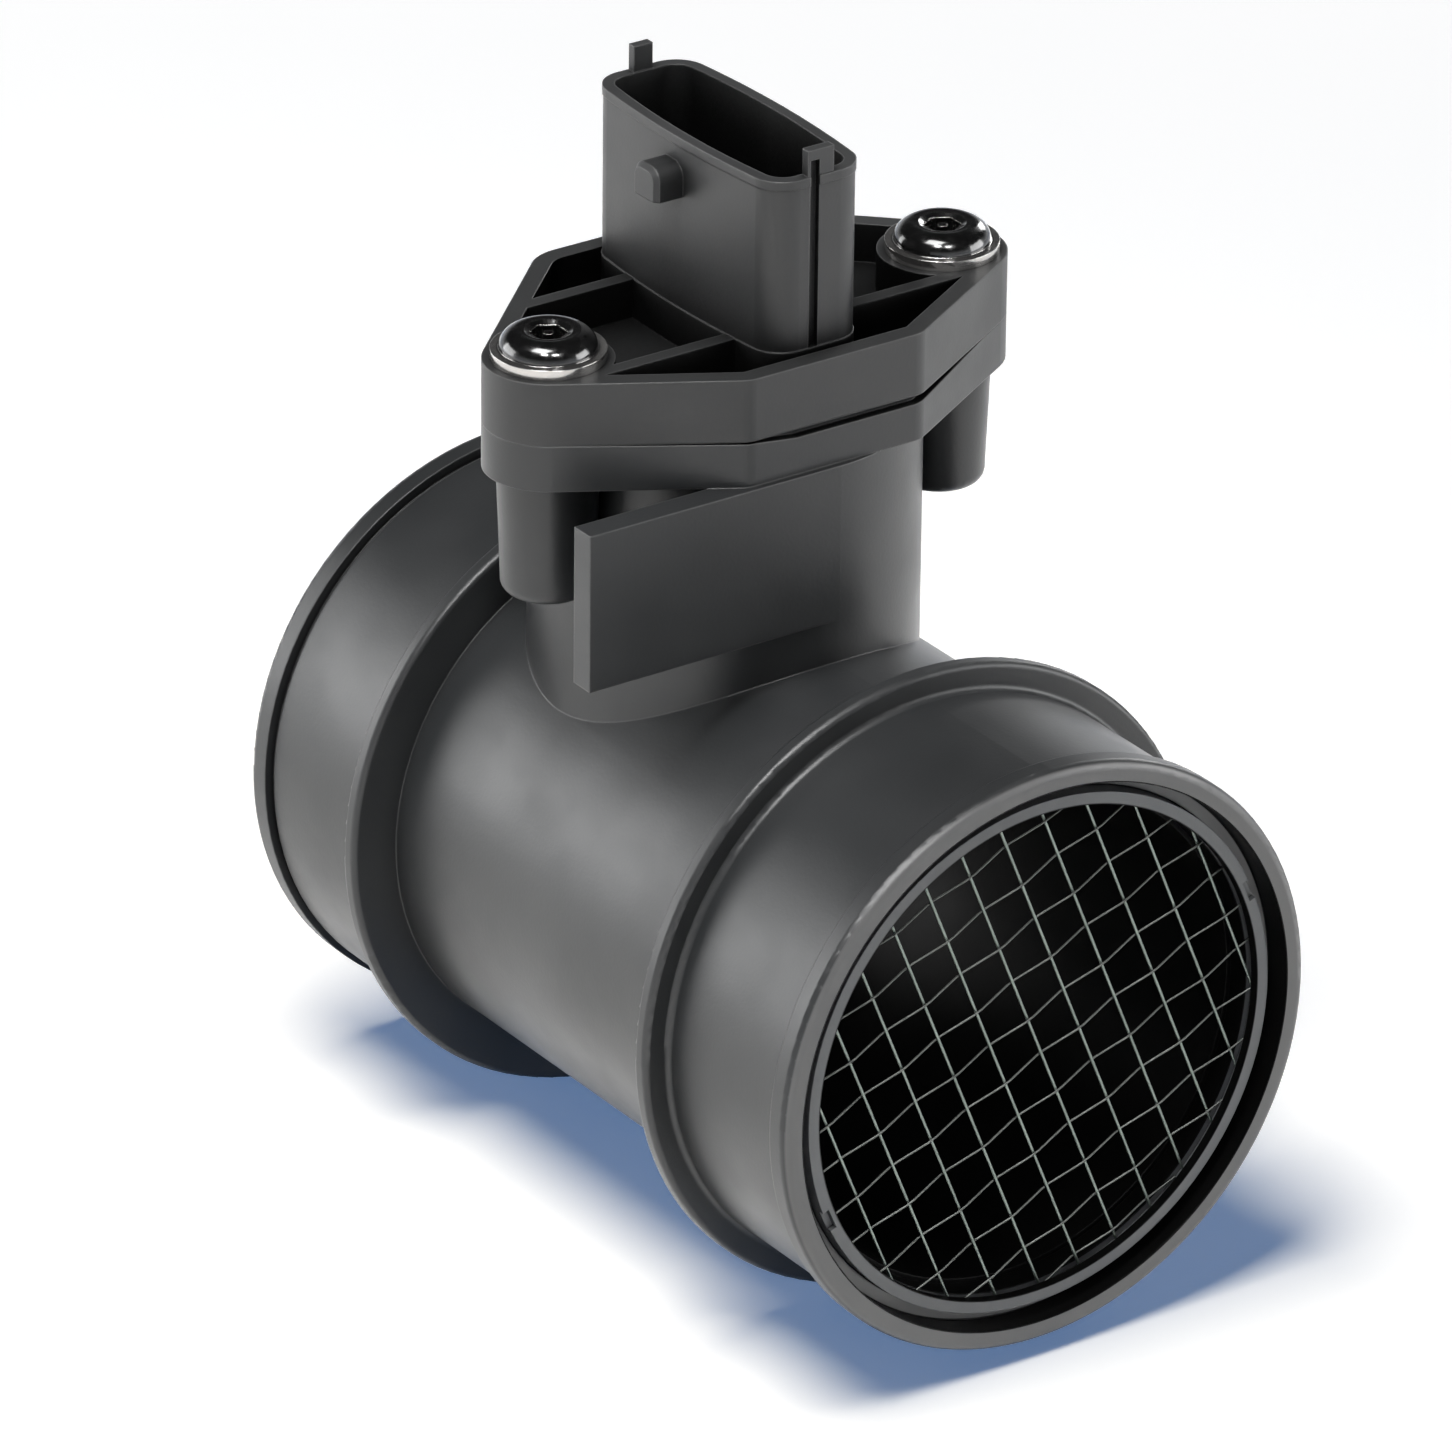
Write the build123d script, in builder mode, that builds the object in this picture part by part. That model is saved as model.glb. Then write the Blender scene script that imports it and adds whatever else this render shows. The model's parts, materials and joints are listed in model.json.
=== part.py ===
"""Mass airflow sensor: a moulded air duct with a plug-in measuring module, in millimetres.

The origin is the centre of the duct's outlet face. +X runs up the duct to the inlet with its
wire mesh, and +Z runs up the tower that carries the module.
"""
import os
from math import ceil, cos, floor, radians, sin, sqrt

from build123d import *

os.makedirs("parts", exist_ok=True)

# Duct
duct_length = 96.0
bore_radius = 26.0
barrel_radius = 28.3
inlet_land_radius = 30.6
outlet_land_radius = 30.9
rim_radius = 31.5
rim_width = 2.8
rim_round = 0.9
bead_root_share = 0.55
bead_back_share = 0.4
fillet_share = 0.45
outlet_groove_width = 0.8
outlet_groove_depth = 0.5
collar_radius = 33.5
collar_thickness = 2.0
collar_round = 0.6
collar_root = 1.2
outlet_collar_face = 22.5
inlet_spigot_length = 21.1

# Mouth of the inlet and the mesh cartridge in it
mouth_radius = 29.3
mouth_depth = 3.0
cartridge_radius = 27.8
cartridge_bore = 26.5
cartridge_recess = 1.2
cartridge_depth = 5.6
retainer_thickness = 1.0
skirt_wall = 0.6
notch_length = 2.4
notch_width = 0.9
notch_depth = 0.6
notch_turn = 23.6

# Wire mesh
warp_diameter = 0.3
weft_diameter = 0.22
warp_pitch = 4.79
weft_pitch = 4.82
warp_offset = 0.7
weft_offset = -1.3
weave_turn = 22.5
weave_gap = 0.02
crimp_flat = 1.0

# Tower
tower_x = 39.4
screw_x = 43.0
screw_spacing = 47.4
neck_radius = 19.8
socket_radius = 16.0
flange_front = 58.5
flange_back = 21.9
flange_front_flat = 19.2
flange_back_flat = 18.0
flange_front_corner = 2.5
flange_back_corner = 5.0
flange_end_radius = 6.6
seat_height = 54.7
housing_flange_thickness = 4.9
seam_height = 0.9
seam_depth = 1.0
seam_length = 33.0
seam_growth = 5.0
seam_tail_length = 16.0
seam_tail_height = 0.25
boss_top_radius = 5.2
boss_tip_radius = 4.7
boss_height = 13.6
boss_round = 1.4
pilot_radius = 2.45
pilot_floor = 2.5
pad_width = 29.9
pad_height = 16.9
pad_thickness = 2.8
pad_edge = 0.3

# Module: flange and connector
module_flange_thickness = 6.7
pocket_depth = 4.2
flange_rim = 2.0
rib_thickness = 1.6
back_rib_x = 31.4
front_rib_x = 48.8
shell_length = 32.0
shell_width = 13.0
shell_end_width = 10.9
shell_corner = 3.4
shell_wall = 1.2
shell_top = 79.7
shell_socket_depth = 17.0
lip_height = 1.0
lip_step = 0.1
key_width = 3.1
back_key_width = 2.2
key_thickness = 1.0
key_height = 2.8
key_slot_width = 1.05
key_slot_depth = 0.7
key_slot_shift = 0.7
key_slot_rise = 1.7
latch_width = 4.2
latch_reach = 3.25
latch_foot = 6.2
latch_height = 3.5
latch_round = 1.5
latch_ramp = 0.5
latch_shift = 0.6

# Module: plug and probe
fit_gap = 0.15
plug_gap = 0.2
plug_depth = 8.0
seal_groove_height = 2.6
seal_groove_depth = 2.0
seal_drop = 2.4
seal_section = 1.0
probe_length = 26.0
probe_width = 11.0
probe_tip = -9.0
probe_round = 2.0
chamber_length = 21.0
chamber_top = 46.0
chamber_floor = 29.0
chamber_back = 2.6
cover_thickness = 1.2
cover_lap = 1.3
channel_back = 2.8
channel_low = -5.5
channel_rise = 8.0
channel_bend = 7.0
channel_top = 21.0
channel_exit_margin = 1.0

# Electronics
base_plate_thickness = 1.2
board_thickness = 0.65
board_foot_gap = 4.2
board_head_gap = 0.8
board_side_gap = 1.2
chip_thickness = 0.9
chip_length = 7.0
chip_margin = 1.2
carrier_thickness = 1.0
carrier_width = 5.0
carrier_tip = 14.6
element_thickness = 0.5
element_margin = 0.7
terminal_count = 5
terminal_pitch = 4.6
terminal_width = 1.5
terminal_thickness = 0.64
terminal_top = 74.0
terminal_foot = 41.5
terminal_taper = 0.8
embed_gap = 0.05
thermistor_pocket_length = 8.0
thermistor_pocket_low = 22.3
thermistor_pocket_height = 5.4
thermistor_pocket_depth = 1.9
bead_radius = 0.75
lead_radius = 0.2

# Screws and bushes
bush_radius = 4.3
bush_bore = 2.75
screw_flange_radius = 5.8
screw_flange_thickness = 1.1
dome_foot_radius = 4.95
dome_top_radius = 2.75
dome_height = 1.85
dish_radius = 2.4
dish_depth = 0.3
shank_radius = 2.4
shank_length = 17.0
shank_tip_radius = 1.7
shank_tip_height = 1.0
recess_radius = 1.92
recess_lobe = 0.42
recess_depth = 1.8
recess_pin_radius = 0.5

# Levels and places that follow from the sizes above
flange_top = seat_height + module_flange_thickness
housing_flange_foot = seat_height - housing_flange_thickness
boss_foot = housing_flange_foot - boss_height
shell_floor = shell_top - shell_socket_depth
plug_radius = socket_radius - plug_gap
plug_foot = seat_height - plug_depth
cartridge_face = duct_length - cartridge_recess
cartridge_seat = duct_length - cartridge_depth
outlet_collar_back = outlet_collar_face - collar_thickness
inlet_collar_face = duct_length - inlet_spigot_length
inlet_collar_back = inlet_collar_face - collar_thickness
inlet_bead = rim_radius - inlet_land_radius
screw_ys = (-screw_spacing / 2, screw_spacing / 2)
weave_height = warp_diameter + 2 * (weft_diameter + weave_gap)
weave_x = cartridge_face - retainer_thickness - weave_height / 2 - embed_gap
wire_reach = cartridge_radius - skirt_wall - embed_gap
probe_side = -probe_width / 2
probe_front = tower_x + probe_length / 2


def near(sketch, *points):
    """The sketch's corners that lie at the given points."""
    return [sketch.vertices().sort_by_distance(point)[0] for point in points]


def flange_outline(inset):
    """The flange's outline, a long hexagon with rounded corners, set in by inset."""
    with BuildSketch() as outline:
        with Locations(*[(screw_x, y) for y in screw_ys]):
            Circle(flange_end_radius - inset)
        for side in (-1, 1):
            with Locations((flange_front - flange_front_corner, side * flange_front_flat / 2)):
                Circle(flange_front_corner - inset)
            with Locations((flange_back + flange_back_corner, side * flange_back_flat / 2)):
                Circle(flange_back_corner - inset)
        make_hull()
    return outline.sketch


def shell_outline(inset):
    """The connector's outline, long along the duct with gently bowed walls, set in by inset."""
    half_length = shell_length / 2 - inset
    half_end = shell_end_width / 2 - inset
    half_width = shell_width / 2 - inset
    with BuildSketch() as outline:
        with BuildLine():
            ThreePointArc((-half_length, -half_end), (0, -half_width), (half_length, -half_end))
            Line((half_length, -half_end), (half_length, half_end))
            ThreePointArc((half_length, half_end), (0, half_width), (-half_length, half_end))
            Line((-half_length, half_end), (-half_length, -half_end))
        make_face()
        fillet(outline.vertices(), shell_corner - inset)
    return outline.sketch


def block(x_span, y_span, z_span, mode=Mode.ADD):
    """Add or cut a plain block between two values on each axis."""
    spans = (x_span, y_span, z_span)
    with Locations(tuple((low + high) / 2 for low, high in spans)):
        Box(*[high - low for low, high in spans], mode=mode)


def about(middle, width):
    """A span of the given width about a middle value."""
    return (middle - width / 2, middle + width / 2)


def within(size, *walls):
    """A rounding of the given size, or less where a wall beside it is too low for it."""
    return min([size] + [abs(wall) * fillet_share for wall in walls])


# The seam between the two flanges: a rebate along the front that tapers out at both its ends
with BuildPart() as seam_cut:
    with BuildSketch(Plane.XY.offset(seat_height)):
        add(flange_outline(-seam_depth))
        add(flange_outline(seam_depth), mode=Mode.SUBTRACT)
    extrude(amount=-seam_height)
    with BuildSketch(Plane.YZ.offset(screw_x)):
        front_corner_y = flange_front_flat / 2
        with BuildLine():
            Polyline(
                (-front_corner_y - seam_tail_length, seat_height),
                (-front_corner_y, seat_height - seam_tail_height),
                (-front_corner_y + seam_growth, seat_height - seam_height),
                (front_corner_y, seat_height - seam_height),
                (-front_corner_y + seam_length, seat_height),
                close=True,
            )
        make_face()
    extrude(amount=flange_front - screw_x + seam_depth, mode=Mode.INTERSECT)

# Duct housing: tube, collars, tower, flange, screw bosses and label pad in one moulding
with BuildPart() as duct_housing:
    with BuildSketch(Plane.XZ) as skin:
        groove_end = rim_width + outlet_groove_width
        groove_radius = outlet_land_radius - outlet_groove_depth
        flare_start = duct_length - rim_width
        with BuildLine():
            Polyline(
                (0, 0),
                (0, rim_radius),
                (rim_width, rim_radius),
                (rim_width, groove_radius),
                (groove_end, groove_radius),
                (groove_end, outlet_land_radius),
                (outlet_collar_back, outlet_land_radius),
                (outlet_collar_back, collar_radius),
                (outlet_collar_face, collar_radius),
                (outlet_collar_face, barrel_radius),
                (inlet_collar_back, barrel_radius),
                (inlet_collar_back, collar_radius),
                (inlet_collar_face, collar_radius),
                (inlet_collar_face, inlet_land_radius),
                (flare_start, inlet_land_radius),
                (flare_start, rim_radius),
                (duct_length, rim_radius),
                (duct_length, 0),
                close=True,
            )
        make_face()
        collar_corners = [(x, collar_radius) for x in (outlet_collar_back, outlet_collar_face)]
        collar_corners += [(x, collar_radius) for x in (inlet_collar_back, inlet_collar_face)]
        barrel_step = collar_radius - barrel_radius
        outlet_step = collar_radius - outlet_land_radius
        inlet_step = collar_radius - inlet_land_radius
        barrel_roots = near(skin, (outlet_collar_face, barrel_radius), (inlet_collar_back, barrel_radius))
        fillet(near(skin, *collar_corners), within(collar_round, barrel_step, outlet_step, inlet_step))
        fillet(barrel_roots, within(collar_root, barrel_step))
        fillet(near(skin, (outlet_collar_back, outlet_land_radius)), within(collar_root / 2, outlet_step))
        fillet(near(skin, (inlet_collar_face, inlet_land_radius)), within(collar_root / 2, inlet_step))
        fillet(near(skin, (0, rim_radius), (duct_length, rim_radius)), rim_round)
        fillet(near(skin, (flare_start, inlet_land_radius)), inlet_bead * bead_root_share)
        fillet(near(skin, (flare_start, rim_radius)), inlet_bead * bead_back_share)
    revolve(axis=Axis.X)

    with BuildSketch(Plane.XY):
        with Locations((tower_x, 0)):
            Circle(neck_radius)
        with Locations((outlet_collar_face, 0)):
            neck_reach = tower_x + neck_radius - outlet_collar_face
            Rectangle(neck_reach, neck_radius * 2, align=(Align.MIN, Align.CENTER), mode=Mode.INTERSECT)
    extrude(amount=housing_flange_foot)

    with BuildSketch(Plane.XY.offset(housing_flange_foot)):
        add(flange_outline(0))
    extrude(amount=housing_flange_thickness)

    pad_face = tower_x + neck_radius
    block(
        (pad_face - pad_thickness, pad_face),
        (pad_edge - pad_width, pad_edge),
        (housing_flange_foot - pad_height, housing_flange_foot),
    )

    for y in screw_ys:
        with BuildSketch(Plane.XZ.offset(-y)) as boss:
            with BuildLine():
                Polyline(
                    (screw_x, housing_flange_foot),
                    (screw_x, boss_foot),
                    (screw_x + boss_tip_radius, boss_foot),
                    (screw_x + boss_top_radius, housing_flange_foot),
                    close=True,
                )
            make_face()
            fillet(near(boss, (screw_x + boss_tip_radius, boss_foot)), boss_round)
        revolve(axis=Axis((screw_x, y, 0), (0, 0, 1)))

    add(seam_cut.part, mode=Mode.SUBTRACT)

    with BuildSketch(Plane.XZ) as hollow:
        with BuildLine():
            Polyline(
                (0, 0),
                (0, bore_radius),
                (cartridge_seat, bore_radius),
                (cartridge_seat, cartridge_radius + fit_gap),
                (duct_length - mouth_depth, cartridge_radius + fit_gap),
                (duct_length - mouth_depth, mouth_radius),
                (duct_length, mouth_radius),
                (duct_length, 0),
                close=True,
            )
        make_face()
    revolve(axis=Axis.X, mode=Mode.SUBTRACT)

    with BuildSketch(Plane.XY):
        with Locations((tower_x, 0)):
            Circle(socket_radius)
    extrude(amount=seat_height, mode=Mode.SUBTRACT)

    with BuildSketch(Plane.XY.offset(seat_height)):
        with Locations(*[(screw_x, y) for y in screw_ys]):
            Circle(pilot_radius)
    extrude(amount=-(seat_height - boss_foot - pilot_floor), mode=Mode.SUBTRACT)

# Latch lug on the connector's near wall, rounded at its top
wall_y = -shell_width / 2 + lip_step
latch_z = shell_top - latch_foot + latch_height / 2
with BuildPart() as latch:
    with BuildSketch(Plane.XZ.offset(-wall_y - shell_wall / 2)) as lug:
        with Locations((tower_x - latch_shift, latch_z)):
            Rectangle(latch_width, latch_height)
        fillet(lug.vertices().group_by(Axis.Y)[-1], latch_round)
    extrude(amount=latch_reach + shell_wall / 2)
    lug_rim = latch.faces().sort_by(Axis.Y)[0].edges()
    chamfer(lug_rim.filter_by(lambda edge: edge.center().Z > latch_z + latch_height / 4), latch_ramp)

# Sensor body: flange, connector shell, plug and probe in one moulding
with BuildPart() as sensor_body:
    with BuildSketch(Plane.XY.offset(seat_height)):
        add(flange_outline(0))
    extrude(amount=module_flange_thickness)

    # Weight-saving pockets between the rim, the ribs, the screw ears and the connector
    with BuildSketch(Plane.XY.offset(flange_top)):
        add(flange_outline(flange_rim))
        with Locations(*[(screw_x, y) for y in screw_ys]):
            Circle(flange_end_radius, mode=Mode.SUBTRACT)
        for rib_x in (back_rib_x, front_rib_x):
            with Locations((rib_x, 0)):
                Rectangle(rib_thickness, screw_spacing, mode=Mode.SUBTRACT)
        with Locations((tower_x, 0)):
            add(shell_outline(0), mode=Mode.SUBTRACT)
    extrude(amount=-pocket_depth, mode=Mode.SUBTRACT)

    with BuildSketch(Plane.XY.offset(flange_top - pocket_depth)):
        with Locations((tower_x, 0)):
            add(shell_outline(lip_step))
    extrude(amount=shell_top - lip_height - flange_top + pocket_depth)
    with BuildSketch(Plane.XY.offset(shell_top - lip_height)):
        with Locations((tower_x, 0)):
            add(shell_outline(0))
    extrude(amount=lip_height)

    for side, width in ((-1, back_key_width), (1, key_width)):
        outer = tower_x + side * (shell_length / 2 - lip_step)
        block(
            sorted((outer, outer - side * key_thickness)),
            about(0, width),
            (shell_floor, shell_top + key_height),
        )

    with BuildSketch(Plane.XY.offset(shell_top)):
        with Locations((tower_x, 0)):
            add(shell_outline(shell_wall))
    extrude(amount=-shell_socket_depth, mode=Mode.SUBTRACT)

    front_end = tower_x + shell_length / 2
    block(
        (front_end - key_slot_depth, front_end),
        about(-key_slot_shift, key_slot_width),
        (flange_top, shell_top + key_slot_rise),
        mode=Mode.SUBTRACT,
    )

    add(latch.part)

    # Plug with its seal groove
    with BuildSketch(Plane.XY.offset(plug_foot)):
        with Locations((tower_x, 0)):
            Circle(plug_radius)
    extrude(amount=plug_depth)
    with BuildSketch(Plane.XY.offset(seat_height - seal_drop)):
        with Locations((tower_x, 0)):
            Circle(plug_radius)
            Circle(plug_radius - seal_groove_depth, mode=Mode.SUBTRACT)
    extrude(amount=-seal_groove_height, mode=Mode.SUBTRACT)

    # Probe blade, rounded at its tip
    with BuildSketch(Plane.XZ.offset(-probe_width / 2)):
        with Locations((tower_x, (plug_foot + probe_tip) / 2)):
            blade = Rectangle(probe_length, plug_foot - probe_tip)
        fillet(blade.vertices().group_by(Axis.Y)[0], probe_round)
    extrude(amount=probe_width)

    # Electronics chamber with the rebate for its cover
    chamber_height = chamber_top - chamber_floor
    block(
        about(tower_x, chamber_length),
        (probe_side, chamber_back),
        (chamber_floor, chamber_top),
        mode=Mode.SUBTRACT,
    )
    block(
        about(tower_x, chamber_length + 2 * cover_lap),
        (probe_side, probe_side + cover_thickness + fit_gap),
        (chamber_floor - cover_lap, plug_foot),
        mode=Mode.SUBTRACT,
    )

    # Measuring channel: in at the front edge, up the bend, forward over the sensor and out below the cover
    bend_x = tower_x - probe_length / 2 + channel_bend / 2
    exit_x = probe_front - channel_bend / 2
    upper_low = channel_top - channel_bend
    channel_span = (probe_side, channel_back)
    entry_span = (channel_low, channel_low + channel_rise)
    block((bend_x, probe_front), channel_span, entry_span, mode=Mode.SUBTRACT)
    block((bend_x, bend_x + channel_bend), channel_span, (channel_low, channel_top), mode=Mode.SUBTRACT)
    block((bend_x, exit_x), channel_span, (upper_low, channel_top), mode=Mode.SUBTRACT)
    block(
        (bend_x, probe_front - cover_lap),
        (probe_side, probe_side + cover_thickness + fit_gap),
        (channel_low - cover_lap, channel_top + cover_lap),
        mode=Mode.SUBTRACT,
    )

    # Slots for the terminals, the sensor carrier and the air thermistor
    for index in range(terminal_count):
        terminal_x = tower_x + (index - (terminal_count - 1) / 2) * terminal_pitch
        block(
            about(terminal_x, terminal_width + 2 * embed_gap),
            about(0, terminal_thickness + 2 * embed_gap),
            (chamber_top, shell_floor),
            mode=Mode.SUBTRACT,
        )
    carrier_back = chamber_back - base_plate_thickness
    block(
        about(tower_x, carrier_width + 2 * fit_gap),
        (carrier_back - carrier_thickness - fit_gap, carrier_back + fit_gap),
        (channel_top, chamber_floor),
        mode=Mode.SUBTRACT,
    )
    thermistor_z = thermistor_pocket_low + thermistor_pocket_height / 2
    thermistor_y = probe_width / 2 - thermistor_pocket_depth / 2
    block(
        about(tower_x, thermistor_pocket_length),
        (probe_width / 2 - thermistor_pocket_depth, probe_width / 2),
        about(thermistor_z, thermistor_pocket_height),
        mode=Mode.SUBTRACT,
    )

    # Holes for the steel bushes
    with BuildSketch(Plane.XY.offset(seat_height)):
        with Locations(*[(screw_x, y) for y in screw_ys]):
            Circle(bush_radius + embed_gap)
    extrude(amount=module_flange_thickness, mode=Mode.SUBTRACT)

# Seal ring in the plug's groove
with BuildPart() as seal_ring:
    with BuildSketch(Plane.XZ):
        seal_radius = (plug_radius - seal_groove_depth + socket_radius) / 2
        with Locations((seal_radius, seat_height - seal_drop - seal_groove_height / 2)):
            Circle(seal_section)
    revolve(axis=Axis.Z)
seal_ring.part = Pos(tower_x, 0, 0) * seal_ring.part


def make_bush(y):
    """A steel bush that takes the clamping load through the plastic flange."""
    with BuildPart() as bush:
        with BuildSketch(Plane.XY.offset(seat_height)):
            with Locations((screw_x, y)):
                Circle(bush_radius)
                Circle(bush_bore, mode=Mode.SUBTRACT)
        extrude(amount=module_flange_thickness)
    return bush.part


def make_screw(y):
    """A flanged dome-head screw with a six-lobed recess and a centre pin."""
    foot = flange_top
    brim = foot + screw_flange_thickness
    crown = brim + dome_height
    with BuildPart() as screw:
        with BuildSketch(Plane.XZ) as profile:
            with BuildLine():
                Polyline(
                    (dome_top_radius, crown),
                    (dish_radius, crown),
                    (recess_radius, crown - dish_depth),
                    (0, crown - dish_depth),
                    (0, foot - shank_length),
                    (shank_tip_radius, foot - shank_length),
                    (shank_radius, foot - shank_length + shank_tip_height),
                    (shank_radius, foot),
                    (screw_flange_radius, foot),
                    (screw_flange_radius, brim),
                    (dome_foot_radius, brim),
                )
                TangentArc((dome_foot_radius, brim), (dome_top_radius, crown), tangent=(0, 1))
            make_face()
        revolve(axis=Axis.Z)
        with BuildSketch(Plane.XY.offset(crown - dish_depth)):
            Circle(recess_radius - recess_lobe / 2)
            with PolarLocations(recess_radius - recess_lobe, 6):
                Circle(recess_lobe)
            Circle(recess_pin_radius, mode=Mode.SUBTRACT)
        extrude(amount=-recess_depth, mode=Mode.SUBTRACT)
    return Pos(screw_x, y, 0) * screw.part


def make_terminal(index):
    """A flat connector blade with a tapered tip, running down into the electronics chamber."""
    terminal_x = tower_x + (index - (terminal_count - 1) / 2) * terminal_pitch
    with BuildPart() as terminal:
        with BuildSketch(Plane.XZ.offset(-terminal_thickness / 2)) as blade:
            with Locations((terminal_x, (terminal_top + terminal_foot) / 2)):
                Rectangle(terminal_width, terminal_top - terminal_foot)
            chamfer(blade.vertices().group_by(Axis.Y)[-1], terminal_taper, terminal_taper / 2)
        extrude(amount=terminal_thickness)
    return terminal.part


bushes = [make_bush(y) for y in screw_ys]
screws = [make_screw(y) for y in screw_ys]
terminals = [make_terminal(index) for index in range(terminal_count)]

# Covers of the electronics chamber and the measuring channel
with BuildPart() as electronics_cover:
    block(
        about(tower_x, chamber_length + 2 * cover_lap - 2 * fit_gap),
        (probe_side, probe_side + cover_thickness),
        (chamber_floor - cover_lap + fit_gap, plug_foot - fit_gap),
    )

with BuildPart() as channel_cover:
    block(
        (bend_x + fit_gap, probe_front - cover_lap - fit_gap),
        (probe_side, probe_side + cover_thickness),
        (channel_low - cover_lap + fit_gap, channel_top + cover_lap - fit_gap),
    )
    block(
        about(exit_x - channel_bend / 2, channel_bend / 2),
        (probe_side, probe_side + cover_thickness),
        (upper_low + channel_exit_margin, channel_top - channel_exit_margin),
        mode=Mode.SUBTRACT,
    )

# Base plate, ceramic board and control chip in the chamber
chamber_middle = (chamber_floor + chamber_top) / 2
with BuildPart() as base_plate:
    block(
        about(tower_x, chamber_length - 2 * fit_gap),
        (chamber_back - base_plate_thickness, chamber_back),
        about(chamber_middle, chamber_height - 2 * fit_gap),
    )

board_low = chamber_floor + board_foot_gap
board_high = chamber_top - board_head_gap
board_face = carrier_back - board_thickness
with BuildPart() as circuit_board:
    block(
        about(tower_x, chamber_length - 2 * board_side_gap),
        (board_face, carrier_back),
        (board_low, board_high),
    )

with BuildPart() as control_chip:
    block(
        about(tower_x, chip_length),
        (board_face - chip_thickness, board_face),
        (board_low + chip_margin, terminal_foot - chip_margin),
    )

with BuildPart() as sensor_carrier:
    block(
        about(tower_x, carrier_width),
        (carrier_back - carrier_thickness, carrier_back),
        (carrier_tip, board_low - fit_gap),
    )

element_face = carrier_back - carrier_thickness
with BuildPart() as sensor_element:
    block(
        about(tower_x, carrier_width - 2 * element_margin),
        (element_face - element_thickness, element_face),
        (carrier_tip + element_margin, channel_top - element_margin),
    )

with BuildPart() as air_thermistor:
    with BuildSketch(Plane.YZ.offset(tower_x - thermistor_pocket_length / 2 + embed_gap)):
        with Locations((thermistor_y, thermistor_z)):
            Circle(lead_radius)
    extrude(amount=thermistor_pocket_length - 2 * embed_gap)
    with Locations((tower_x, thermistor_y, thermistor_z)):
        Sphere(bead_radius)

# Mesh cartridge: a frame and a retainer that clamp the woven wires at the inlet
frame_face = weave_x - weave_height / 2 - embed_gap
retainer_back = cartridge_face - retainer_thickness
with BuildPart() as mesh_frame:
    with BuildSketch(Plane.YZ.offset(cartridge_seat)):
        Circle(cartridge_radius)
        Circle(cartridge_bore, mode=Mode.SUBTRACT)
    extrude(amount=frame_face - cartridge_seat)
    with BuildSketch(Plane.YZ.offset(frame_face)):
        Circle(cartridge_radius)
        Circle(cartridge_radius - skirt_wall, mode=Mode.SUBTRACT)
    extrude(amount=retainer_back - frame_face)

with BuildPart() as mesh_retainer:
    with BuildSketch(Plane.YZ.offset(retainer_back)):
        Circle(cartridge_radius)
        Circle(cartridge_bore, mode=Mode.SUBTRACT)
    extrude(amount=retainer_thickness)
    notch_radius = cartridge_radius + fit_gap - notch_width / 2
    with BuildSketch(Plane.YZ.offset(cartridge_face)):
        with PolarLocations(notch_radius, 2, start_angle=notch_turn):
            Rectangle(notch_width, notch_length)
    extrude(amount=-notch_depth, mode=Mode.SUBTRACT)


def wire_offsets(pitch, phase):
    """The distances from the duct's axis of the wires that cross the cartridge."""
    lowest = ceil((-cartridge_bore - phase) / pitch)
    highest = floor((cartridge_bore - phase) / pitch)
    return [phase + pitch * step for step in range(lowest, highest + 1)]


def wire_half_length(offset_from_axis, diameter):
    """Half the length of a wire that ends just inside the cartridge's skirt."""
    return sqrt(wire_reach**2 - (abs(offset_from_axis) + diameter / 2) ** 2)


weave_across = (0, cos(radians(weave_turn)), sin(radians(weave_turn)))
weave = Plane(origin=(weave_x, 0, 0), x_dir=weave_across, z_dir=(1, 0, 0))
warp_offsets = wire_offsets(warp_pitch, warp_offset)
weft_offsets = wire_offsets(weft_pitch, weft_offset)

# Straight wires, all in one plane across the inlet
with BuildPart() as mesh_warp_wires:
    for place in warp_offsets:
        half = wire_half_length(place, warp_diameter)
        foot = weave.from_local_coords(Vector(place, -half, 0))
        with BuildSketch(Plane(origin=foot, z_dir=weave.y_dir)):
            Circle(warp_diameter / 2)
        extrude(amount=2 * half)

# Crimped wires that pass behind and in front of the straight ones by turns
with BuildPart() as mesh_weft_wires:
    lift = (warp_diameter + weft_diameter) / 2 + weave_gap
    for row, place in enumerate(weft_offsets):
        half = wire_half_length(place, weft_diameter)
        route = []
        for column, crossing in enumerate(warp_offsets):
            if abs(crossing) < half:
                height = lift if (row + column) % 2 else -lift
                route += [(crossing - crimp_flat / 2, height), (crossing + crimp_flat / 2, height)]
        route[0] = (-half, route[0][1])
        route[-1] = (half, route[-1][1])
        corners = [weave.from_local_coords(Vector(along, place, height)) for along, height in route]
        with BuildLine():
            Polyline(*corners)
        with BuildSketch(Plane(origin=corners[0], z_dir=corners[1] - corners[0])):
            RegularPolygon(weft_diameter / 2, 6)
        sweep(transition=Transition.RIGHT)


named_parts = {
    "duct_housing": duct_housing.part,
    "sensor_body": sensor_body.part,
    "seal_ring": seal_ring.part,
    "bush_left": bushes[0],
    "bush_right": bushes[1],
    "screw_left": screws[0],
    "screw_right": screws[1],
    "electronics_cover": electronics_cover.part,
    "channel_cover": channel_cover.part,
    "base_plate": base_plate.part,
    "circuit_board": circuit_board.part,
    "control_chip": control_chip.part,
    "sensor_carrier": sensor_carrier.part,
    "sensor_element": sensor_element.part,
    "air_thermistor": air_thermistor.part,
    "mesh_frame": mesh_frame.part,
    "mesh_retainer": mesh_retainer.part,
    "mesh_warp_wires": mesh_warp_wires.part,
    "mesh_weft_wires": mesh_weft_wires.part,
}
for index, terminal in enumerate(terminals):
    named_parts[f"terminal_{index + 1}"] = terminal

for name, solid in named_parts.items():
    solid.label = name
    export_step(solid, f"parts/{name}.step")
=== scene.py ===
"""Looks for the mass airflow sensor, in metres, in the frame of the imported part."""
import json
import math

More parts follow.
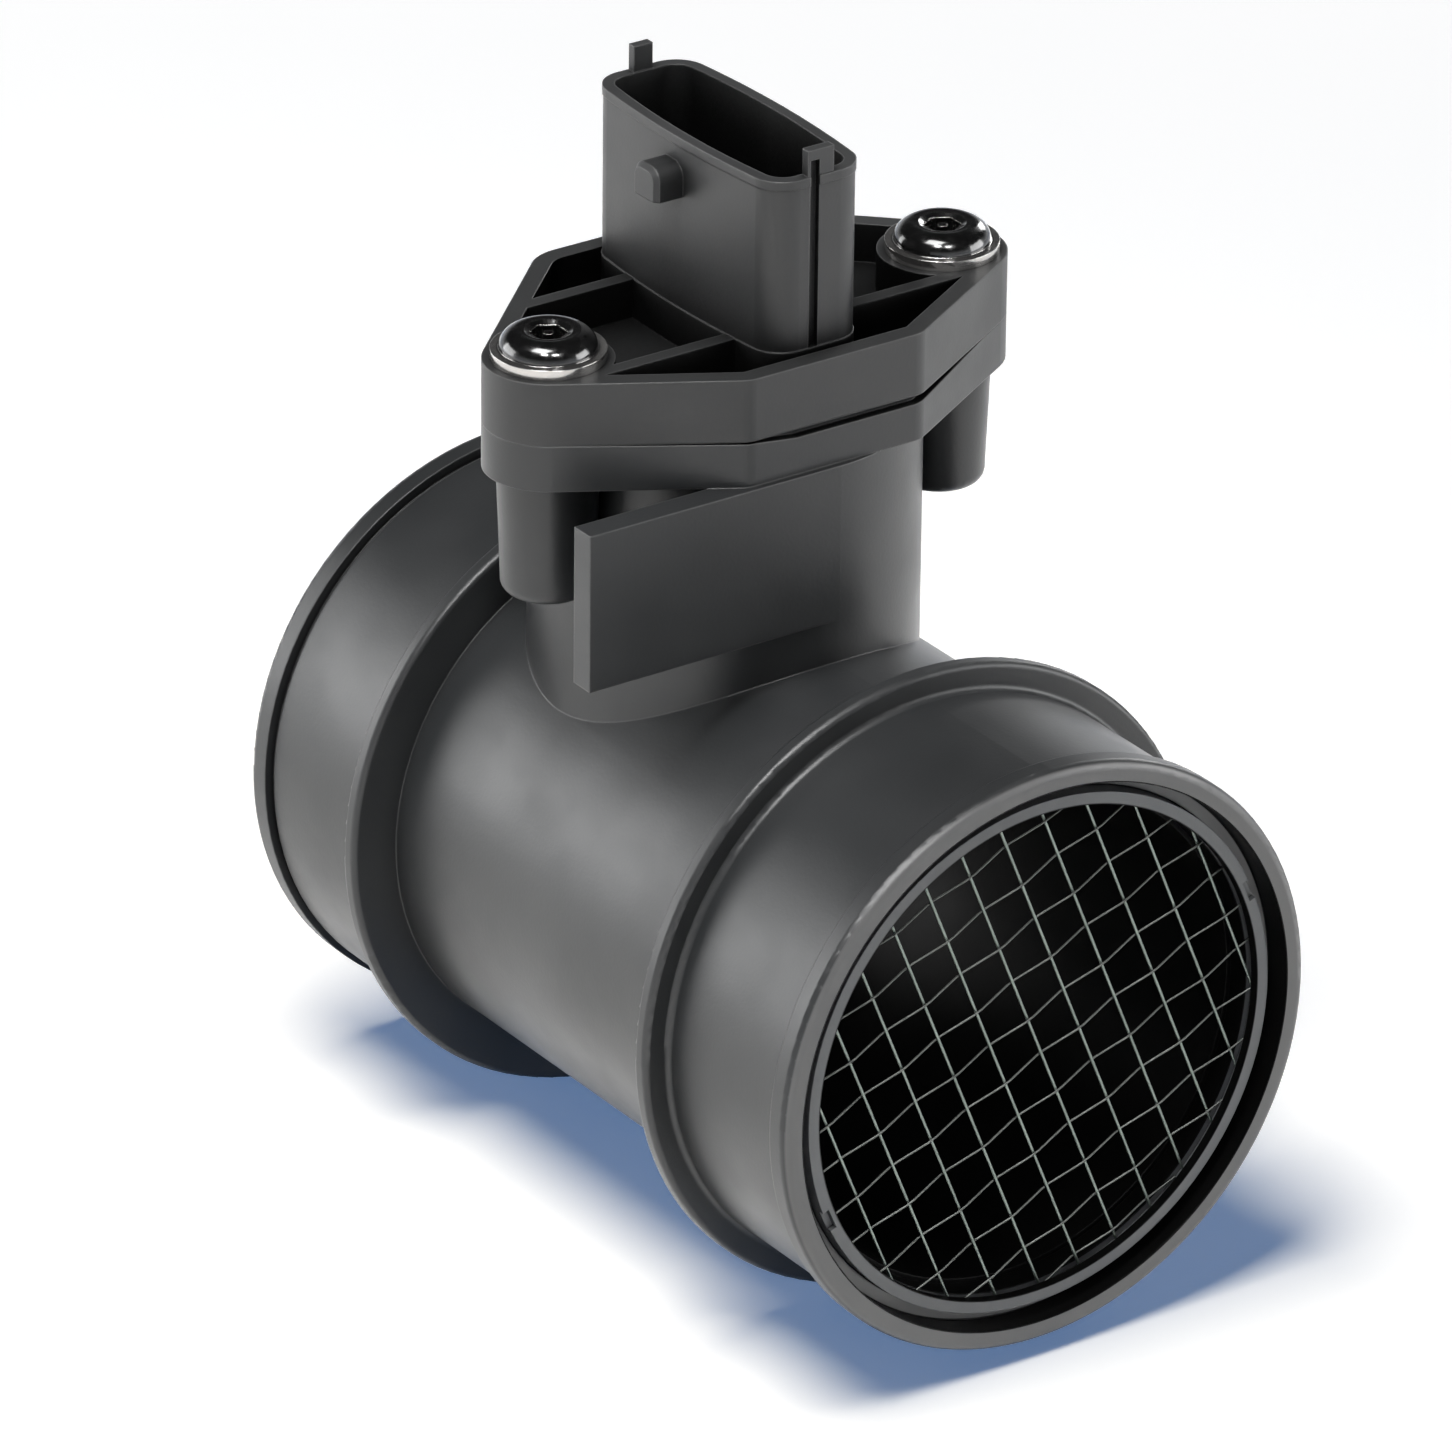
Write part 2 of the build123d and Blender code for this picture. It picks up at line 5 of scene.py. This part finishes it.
import bpy
from mathutils import Matrix, Vector


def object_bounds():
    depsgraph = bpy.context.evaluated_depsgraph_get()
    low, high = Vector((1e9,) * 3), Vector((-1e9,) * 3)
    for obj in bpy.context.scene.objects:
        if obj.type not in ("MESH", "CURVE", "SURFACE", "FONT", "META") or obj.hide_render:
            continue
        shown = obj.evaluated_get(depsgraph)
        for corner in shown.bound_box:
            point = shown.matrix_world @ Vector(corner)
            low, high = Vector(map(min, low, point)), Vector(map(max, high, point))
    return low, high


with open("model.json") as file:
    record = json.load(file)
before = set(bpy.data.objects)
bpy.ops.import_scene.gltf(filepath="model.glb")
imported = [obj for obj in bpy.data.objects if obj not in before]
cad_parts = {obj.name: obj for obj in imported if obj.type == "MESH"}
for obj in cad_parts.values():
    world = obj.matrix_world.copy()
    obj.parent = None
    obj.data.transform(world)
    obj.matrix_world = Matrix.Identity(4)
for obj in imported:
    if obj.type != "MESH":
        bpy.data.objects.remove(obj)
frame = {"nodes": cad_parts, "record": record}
cad_low, cad_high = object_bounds()
nodes = frame["nodes"]
scene = bpy.context.scene
MM = 0.001

# Places on the part that a look depends on
MOUTH_START = 92.45 * MM  # along the duct: its mouth, with the groove around the mesh, lies past it
MOUTH_WALL_RADIUS = 29.3 * MM
MOUTH_WALL_MARGIN = 0.12 * MM
LEDGE_RADIUS = 29.15 * MM  # the bottom of the groove lies inside it
END_FACE_START = 95.7 * MM  # along the duct: its inlet end face lies past it
DUCT_PAINTED_SHADE_RADIUS = 27 * MM  # inside it the duct is painted black as shade
RING_PAINTED_SHADE_RADIUS = 26.6 * MM  # inside it the mesh rings are painted black as shade
SCREW_PLACE = (43 * MM, 23.7 * MM)  # along the duct, and to each side of its axis
SCREW_BRIM_RADIUS = 5 * MM
BORDER = 0.05 * MM  # half the width of a mask's soft border


def grey(value, warmth=0.0):
    """A neutral colour, a little warmer or cooler."""
    return (value * (1 + warmth), value, value * (1 - warmth), 1.0)


def scaled(colour, factor):
    """A colour made lighter or darker."""
    return tuple(factor * c for c in colour[:3]) + (1.0,)


def new_material(name):
    """An empty node material with its Principled shader."""
    material = bpy.data.materials.new(name)
    material.use_nodes = True
    return material, material.node_tree, material.node_tree.nodes["Principled BSDF"]


def object_coordinates(tree):
    """The object's own coordinates, which are the part's frame in metres."""
    return tree.nodes.new("ShaderNodeTexCoord").outputs["Object"]


def noise(tree, scale, detail=3.0):
    """Noise fixed to the part."""
    texture = tree.nodes.new("ShaderNodeTexNoise")
    texture.inputs["Scale"].default_value = scale
    texture.inputs["Detail"].default_value = detail
    tree.links.new(object_coordinates(tree), texture.inputs["Vector"])
    return texture.outputs["Fac"]


def mapped(tree, value, low, high, start=0.35, end=0.65):
    """A value between start and end spread from low to high. Noise lies between the usual two."""
    spread = tree.nodes.new("ShaderNodeMapRange")
    spread.inputs["From Min"].default_value = start
    spread.inputs["From Max"].default_value = end
    spread.inputs["To Min"].default_value = low
    spread.inputs["To Max"].default_value = high
    tree.links.new(value, spread.inputs["Value"])
    return spread.outputs["Result"]


def past(tree, value, place, half_width=BORDER):
    """A mask that is 1 where a value is past a place, with a soft border."""
    return mapped(tree, value, 0, 1, place - half_width, place + half_width)


def mixed(tree, factor, first, second):
    """A blend of two colours or colour sockets."""
    blend = tree.nodes.new("ShaderNodeMix")
    blend.data_type = "RGBA"
    for name, value in (("A", first), ("B", second)):
        if isinstance(value, tuple):
            blend.inputs[name].default_value = value
        else:
            tree.links.new(value, blend.inputs[name])
    tree.links.new(factor, blend.inputs["Factor"])
    return blend.outputs["Result"]


def calculated(tree, operation, first, second=None):
    """One step of arithmetic on values or sockets."""
    step = tree.nodes.new("ShaderNodeMath")
    step.operation = operation
    for socket, value in zip(step.inputs, (first, second)):
        if isinstance(value, (int, float)):
            socket.default_value = value
        elif value is not None:
            tree.links.new(value, socket)
    return step.outputs[0]


def distance_from(tree, across, along, axes):
    """Distance from a straight line through (across, along) that runs square to the two axes.

    The second axis counts the same way to both sides.
    """
    apart = tree.nodes.new("ShaderNodeSeparateXYZ")
    tree.links.new(object_coordinates(tree), apart.inputs[0])
    first = calculated(tree, "SUBTRACT", apart.outputs[axes[0]], across)
    either_side = calculated(tree, "ABSOLUTE", apart.outputs[axes[1]])
    second = calculated(tree, "SUBTRACT", either_side, along)
    squares = calculated(
        tree, "ADD", calculated(tree, "MULTIPLY", first, first), calculated(tree, "MULTIPLY", second, second)
    )
    return calculated(tree, "SQRT", squares)


def along_duct(tree):
    """The place along the duct."""
    apart = tree.nodes.new("ShaderNodeSeparateXYZ")
    tree.links.new(object_coordinates(tree), apart.inputs[0])
    return apart.outputs["X"]


def duct_radius(tree):
    """The distance from the duct's axis."""
    return distance_from(tree, 0, 0, ("Z", "Y"))


def rounded_normal(tree, shader, grain, depth, edge):
    """Softened edges and a fine grain on the shader's normal. Returns a mask that is 1 on the edges."""
    bevel = tree.nodes.new("ShaderNodeBevel")
    bevel.samples = 6
    bevel.inputs["Radius"].default_value = edge
    bump = tree.nodes.new("ShaderNodeBump")
    bump.inputs["Strength"].default_value = 0.5
    bump.inputs["Distance"].default_value = depth
    tree.links.new(grain, bump.inputs["Height"])
    tree.links.new(bevel.outputs["Normal"], bump.inputs["Normal"])
    tree.links.new(bump.outputs["Normal"], shader.inputs["Normal"])
    face = tree.nodes.new("ShaderNodeNewGeometry")
    alike = tree.nodes.new("ShaderNodeVectorMath")
    alike.operation = "DOT_PRODUCT"
    tree.links.new(bevel.outputs["Normal"], alike.inputs[0])
    tree.links.new(face.outputs["Normal"], alike.inputs[1])
    return mapped(tree, alike.outputs["Value"], 0, 1, 0.995, 0.9)


def cavity(tree, reach, deep, bare):
    """A mask for painted shade: 1 on open surfaces and 0 deep in grooves and pockets."""
    open_sky = tree.nodes.new("ShaderNodeAmbientOcclusion")
    open_sky.samples = 6
    open_sky.inputs["Distance"].default_value = reach
    return mapped(tree, open_sky.outputs["AO"], 0, 1, deep, bare)


def mouth_masks(tree):
    """Masks for painted shade on the wall of the duct's mouth, and for painted light on the bottom of its groove
    and on the duct's end face.
    """
    place, radius = along_duct(tree), duct_radius(tree)
    in_mouth = past(tree, place, MOUTH_START)
    on_wall = calculated(tree, "COMPARE", radius, MOUTH_WALL_RADIUS)
    on_wall.node.inputs[2].default_value = MOUTH_WALL_MARGIN
    inside = mapped(tree, radius, 1, 0, LEDGE_RADIUS - BORDER, LEDGE_RADIUS + BORDER)
    wall = calculated(tree, "MULTIPLY", in_mouth, on_wall)
    ledge = calculated(tree, "MULTIPLY", in_mouth, inside)
    return wall, ledge, past(tree, place, END_FACE_START, 0.1 * MM)


def moulded_plastic(
    name, colour, roughness, edge=0.25 * MM, painted_edge_highlight=None, reach=0, span=(0.3, 0.8), bore=0, mouth=False
):
    """Satin moulded plastic: slow colour changes, a fine spark-eroded grain, painted highlights on the edges and
    painted shade in the hollows.

    edge is the softened edges' radius, and the argument after it the colour of their painted highlight. reach is
    how far the painted shade in the hollows looks around, and span the openness from black to none of it. Inside
    bore all is painted black as shade. mouth paints shade on the wall of the duct's mouth, and paints light on the
    bottom of its groove and on the duct's end face.
    """
    material, tree, shader = new_material(name)
    clouds = noise(tree, 28, 4)
    grain = noise(tree, 2600, 2)
    shade = mixed(tree, mapped(tree, clouds, 0, 1), scaled(colour, 0.82), scaled(colour, 1.22))
    edges = rounded_normal(tree, shader, grain, 0.02 * MM, edge)
    # Painted highlight: a paler colour on the edges
    if painted_edge_highlight:
        shade = mixed(tree, edges, shade, painted_edge_highlight)
    if reach:
        # Painted shade: darker in hollows, grooves and pockets, the less open sky they see
        open_face = cavity(tree, reach, *span)
        if bore:
            # Painted shade: black inside the bore
            open_face = calculated(tree, "MULTIPLY", open_face, past(tree, duct_radius(tree), bore))
        if mouth:
            wall, ledge, end_face = mouth_masks(tree)
            # No painted shade on the groove's bottom, and painted black shade on the mouth's wall
            open_face = calculated(tree, "MAXIMUM", open_face, ledge)
            open_face = calculated(tree, "SUBTRACT", open_face, wall)
            # Painted light: paler colours on the duct's end face and on the bottom of the groove
            shade = mixed(tree, end_face, shade, grey(0.16))
            shade = mixed(tree, ledge, shade, grey(0.3))
        # The painted shade: near-black colour and weaker reflections where the surface is closed in
        shade = mixed(tree, open_face, grey(0.003), shade)
        tree.links.new(mapped(tree, open_face, 0.06, 0.5, 0, 1), shader.inputs["Specular IOR Level"])
    tree.links.new(shade, shader.inputs["Base Color"])
    patches = noise(tree, 90, 3)
    tree.links.new(mapped(tree, patches, roughness - 0.04, roughness + 0.05), shader.inputs["Roughness"])
    return material


def metal(name, colour, roughness):
    """Bright metal with a slight change of roughness along it."""
    material, tree, shader = new_material(name)
    shader.inputs["Metallic"].default_value = 1.0
    clouds = mapped(tree, noise(tree, 260, 4), 0, 1)
    tree.links.new(mixed(tree, clouds, scaled(colour, 0.8), colour), shader.inputs["Base Color"])
    streaks = noise(tree, 900, 5)
    tree.links.new(mapped(tree, streaks, roughness - 0.06, roughness + 0.08), shader.inputs["Roughness"])
    rounded_normal(tree, shader, streaks, 0.004 * MM, 0.08 * MM)
    return material


def glossy_coat(name, colour, roughness, bare):
    """Dark coated steel that mirrors the lamps, with a pale metal colour on the brim and painted highlights on its
    edges.
    """
    material, tree, shader = new_material(name)
    shader.inputs["Metallic"].default_value = 0.9
    shader.inputs["Coat Weight"].default_value = 0.6
    shader.inputs["Coat Roughness"].default_value = 0.08
    shade = mixed(tree, mapped(tree, noise(tree, 500, 4), 0, 1), colour, scaled(colour, 1.6))
    edges = rounded_normal(tree, shader, noise(tree, 3000, 2), 0.004 * MM, 0.15 * MM)
    from_screw = distance_from(tree, *SCREW_PLACE, ("X", "Y"))
    brim = mapped(tree, from_screw, 0, 1, SCREW_BRIM_RADIUS, SCREW_BRIM_RADIUS + 0.2 * MM)
    # Pale colour on the brim, and painted highlights on the edges
    pale_brim_and_painted_highlight = calculated(tree, "MAXIMUM", edges, brim)
    tree.links.new(mixed(tree, pale_brim_and_painted_highlight, shade, bare), shader.inputs["Base Color"])
    tree.links.new(mapped(tree, noise(tree, 1500, 3), roughness, roughness + 0.1), shader.inputs["Roughness"])
    return material


looks = {
    # Painted highlight of grey(0.1) on the duct's edges, painted shade in its hollows, bore and mouth wall
    "duct_plastic": moulded_plastic(
        "duct_plastic", grey(0.028, -0.05), 0.4,
        painted_edge_highlight=grey(0.1), reach=6 * MM, span=(0.15, 0.6), bore=DUCT_PAINTED_SHADE_RADIUS, mouth=True,
    ),
    # Painted highlight of grey(0.095) on the module's edges, and painted shade in its pockets and hollows
    "module_plastic": moulded_plastic(
        "module_plastic", grey(0.029, -0.02), 0.44, painted_edge_highlight=grey(0.095), reach=16 * MM, span=(0.35, 0.85)
    ),
    # Painted shade: black inside the ring's bore and in its finest creases
    "ring_plastic": moulded_plastic(
        "ring_plastic", grey(0.15, -0.04), 0.38, edge=0.12 * MM, reach=0.2 * MM, bore=RING_PAINTED_SHADE_RADIUS
    ),
    "seal_rubber": moulded_plastic("seal_rubber", grey(0.02), 0.5),
    "bush_steel": metal("bush_steel", (0.6, 0.58, 0.54, 1), 0.28),
    # grey(0.4) is the pale brim colour and the painted highlight on the screws' edges
    "screw_black": glossy_coat("screw_black", grey(0.035), 0.14, grey(0.4, 0.03)),
    "terminal_tin": metal("terminal_tin", (0.78, 0.75, 0.68, 1), 0.25),
    "plate_aluminium": metal("plate_aluminium", (0.75, 0.76, 0.78, 1), 0.35),
    "board_green": moulded_plastic("board_green", (0.03, 0.16, 0.08, 1), 0.35, edge=0.05 * MM),
    "chip_black": moulded_plastic("chip_black", grey(0.03), 0.55, edge=0.08 * MM),
    "ceramic_white": moulded_plastic("ceramic_white", (0.75, 0.74, 0.68, 1), 0.4, edge=0.05 * MM),
    "element_dark": moulded_plastic("element_dark", (0.07, 0.08, 0.12, 1), 0.2, edge=0.04 * MM),
    "bead_amber": moulded_plastic("bead_amber", (0.3, 0.15, 0.04, 1), 0.25, edge=0.05 * MM),
    "mesh_steel": metal("mesh_steel", (0.18, 0.21, 0.19, 1), 0.42),
}
# Painted shade: the weft wires get a darker copy of the mesh steel
painted_shade_wire = metal("mesh_steel_painted_shade", (0.085, 0.09, 0.085, 1), 0.45)
for subpart in frame["record"]["subparts"]:
    piece = nodes[subpart["node"]]
    piece.data.materials.clear()
    look = painted_shade_wire if subpart["node"] == "mesh_weft_wires" else looks[subpart["material_slot"]]
    piece.data.materials.append(look)

# Camera, at the photograph's angle
azimuth, elevation, roll = math.radians(55.121), math.radians(26.343), math.radians(0.641)
right = Vector((math.cos(azimuth), math.sin(azimuth), 0))
back = Vector(
    (math.sin(azimuth) * math.cos(elevation), -math.cos(azimuth) * math.cos(elevation), math.sin(elevation))
)
up = back.cross(right)
rolled_right = right * math.cos(roll) + up * math.sin(roll)
rolled_up = up * math.cos(roll) - right * math.sin(roll)
place = Vector((0.92098, -0.6140, 0.54503))
camera_data = bpy.data.cameras.new("camera")
camera_data.lens = 294.09
camera_data.sensor_width = 36
camera_data.clip_end = 20
camera = bpy.data.objects.new("camera", camera_data)
scene.collection.objects.link(camera)
camera.matrix_world = Matrix(
    [
        [rolled_right.x, rolled_up.x, back.x, place.x],
        [rolled_right.y, rolled_up.y, back.y, place.y],
        [rolled_right.z, rolled_up.z, back.z, place.z],
        [0, 0, 0, 1],
    ]
)
scene.camera = camera


def lamp(name, toward, distance, size, power, sheen_only=False):
    """A square soft box that faces the object. toward is its direction on the camera's own axes.

    Distance and size are in metres, and power is in watts. A lamp with sheen_only shows in glossy
    reflections and adds no diffuse light.
    """
    target = Vector((0.048, 0, 0.02))
    direction = (right * toward[0] + up * toward[1] + back * toward[2]).normalized()
    data = bpy.data.lights.new(name, "AREA")
    data.shape = "SQUARE"
    data.size = size
    data.energy = power
    lit = bpy.data.objects.new(name, data)
    scene.collection.objects.link(lit)
    lit.location = target + direction * distance
    lit.rotation_mode = "QUATERNION"
    lit.rotation_quaternion = (-direction).to_track_quat("-Z", "Y")
    lit.visible_diffuse = not sheen_only


lamp("overhead", (-0.2, 0.74, 0.64), 1.2, 0.55, 14.5)
lamp("left_box", (-0.93, 0.2, -0.15), 0.9, 0.62, 6.5, sheen_only=True)
lamp("right_box", (1.0, 0.1, 0.06), 0.9, 0.62, 8, sheen_only=True)
lamp("back_box", (0.42, 0.68, -0.6), 1.0, 0.3, 2.5, sheen_only=True)
lamp("front_left_spot", (-0.14, 0.46, 0.88), 0.9, 0.14, 4, sheen_only=True)
lamp("front_right_spot", (0.22, 0.42, 0.88), 0.9, 0.14, 4, sheen_only=True)


def coloured(tree, kind, colour):
    """A shader of one kind and colour."""
    shader = tree.nodes.new(kind)
    shader.inputs["Color"].default_value = colour
    return shader.outputs[0]


def added(tree, first, second):
    """The sum of two shaders."""
    total = tree.nodes.new("ShaderNodeAddShader")
    tree.links.new(first, total.inputs[0])
    tree.links.new(second, total.inputs[1])
    return total.outputs[0]


def chosen(tree, factor, first, second):
    """The second shader where the factor is 1, the first where it is 0."""
    choice = tree.nodes.new("ShaderNodeMixShader")
    for socket, value in zip(choice.inputs, (factor, first, second)):
        tree.links.new(value, socket)
    return choice.outputs[0]


# Floor: white to the camera where it is lit, and blue-grey in the object's shadow
FLOOR_REACH = 4.0
PAPER_START, PAPER_END = 0.2, 0.35  # between these distances from the origin the floor turns plain white
floor_data = bpy.data.meshes.new("floor")
corners = [
    (x * FLOOR_REACH, y * FLOOR_REACH, cad_low.z) for x, y in ((-1, -1), (1, -1), (1, 1), (-1, 1))
]
floor_data.from_pydata(corners, [], [(0, 1, 2, 3)])
floor = bpy.data.objects.new("floor", floor_data)
scene.collection.objects.link(floor)

floor_material = bpy.data.materials.new("floor")
floor_material.use_nodes = True
tree = floor_material.node_tree
tree.nodes.clear()
path = tree.nodes.new("ShaderNodeLightPath")
plain = coloured(tree, "ShaderNodeBsdfDiffuse", (0.65, 0.65, 0.65, 1))
lit_floor = coloured(tree, "ShaderNodeBsdfDiffuse", (1.23, 1.14, 0.95, 1))
shadow_glow = coloured(tree, "ShaderNodeEmission", (0.06, 0.13, 0.28, 1))
near = added(tree, lit_floor, shadow_glow)
mirrored = chosen(tree, path.outputs["Is Glossy Ray"], plain, added(tree, near, plain))
paper = coloured(tree, "ShaderNodeEmission", (1, 1, 1, 1))
from_middle = tree.nodes.new("ShaderNodeVectorMath")
from_middle.operation = "LENGTH"
tree.links.new(object_coordinates(tree), from_middle.inputs[0])
far = mapped(tree, from_middle.outputs["Value"], 0, 1, PAPER_START, PAPER_END)
seen = chosen(tree, far, near, paper)
output = tree.nodes.new("ShaderNodeOutputMaterial")
tree.links.new(chosen(tree, path.outputs["Is Camera Ray"], mirrored, seen), output.inputs[0])
floor_data.materials.append(floor_material)

# World: a pale horizon under a darker ceiling, and white to the camera
world = bpy.data.worlds.new("world")
scene.world = world
world.use_nodes = True
tree = world.node_tree
tree.nodes.clear()
path = tree.nodes.new("ShaderNodeLightPath")
where = tree.nodes.new("ShaderNodeTexCoord")
apart = tree.nodes.new("ShaderNodeSeparateXYZ")
tree.links.new(where.outputs["Generated"], apart.inputs[0])
soft = coloured(tree, "ShaderNodeBackground", (0.96, 0.98, 1.0, 1))
ceiling = mapped(tree, apart.outputs["Z"], 1.0, 0.03, 0.02, 0.33)
tree.links.new(ceiling, soft.node.inputs["Strength"])
white = coloured(tree, "ShaderNodeBackground", (1, 1, 1, 1))
output = tree.nodes.new("ShaderNodeOutputWorld")
tree.links.new(chosen(tree, path.outputs["Is Camera Ray"], soft, white), output.inputs[0])

scene.view_settings.view_transform = "Standard"
